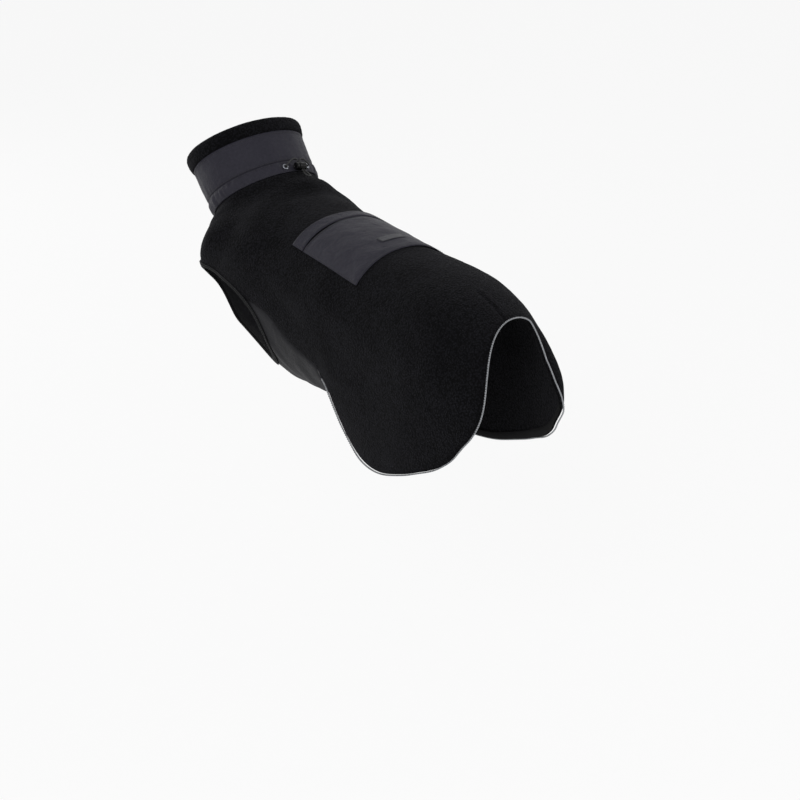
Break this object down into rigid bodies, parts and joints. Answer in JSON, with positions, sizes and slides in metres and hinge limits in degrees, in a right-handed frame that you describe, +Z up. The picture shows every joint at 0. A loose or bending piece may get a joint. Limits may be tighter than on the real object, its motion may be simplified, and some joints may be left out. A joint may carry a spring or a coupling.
{
  "type": "dog sweater",
  "caption": "Worn hollow fleece dog coat with stand collar, back pocket, belly panel, armholes, thigh flaps, tail arch, bright hem piping and a drawcord lock.",
  "frame": {"origin": "inner face of the back panel on its midline, over the dog's withers, where the wearer holds the garment up", "axes": "+Z up, +Y towards the tail, so the head end faces -Y; +X towards the dog's left side"},
  "size_m": [0.252, 0.739, 0.3838],
  "materials": {
    "fleece": "curly micro-teddy fleece",
    "stretch_fabric": "smooth matt stretch knit",
    "nylon": "plain weave shell with a slight sheen",
    "binding": "matt woven tape",
    "piping": "reflective piping with a stitch line",
    "label": "blank woven label",
    "eyelet_metal": "polished",
    "lock_plastic": "glossy moulding",
    "cord": "braided elastic cord"
  },
  "bodies": {
    "root": {"back_panel": "fleece", "belly_panel": "stretch_fabric", "belly_hem": "binding", "armhole_binding_left": "binding", "armhole_binding_right": "binding", "hem_piping": "piping", "hem_facing": "binding", "collar_shell": "nylon", "collar_casing": "nylon", "collar_lining": "fleece", "pocket_band": "nylon", "pocket_patch": "nylon", "pocket_label": "label", "eyelet_left": "eyelet_metal", "eyelet_right": "eyelet_metal", "cord_lock_body": "lock_plastic", "cord_lock_button": "lock_plastic", "drawcord": "cord"}
  },
  "joints": []
}
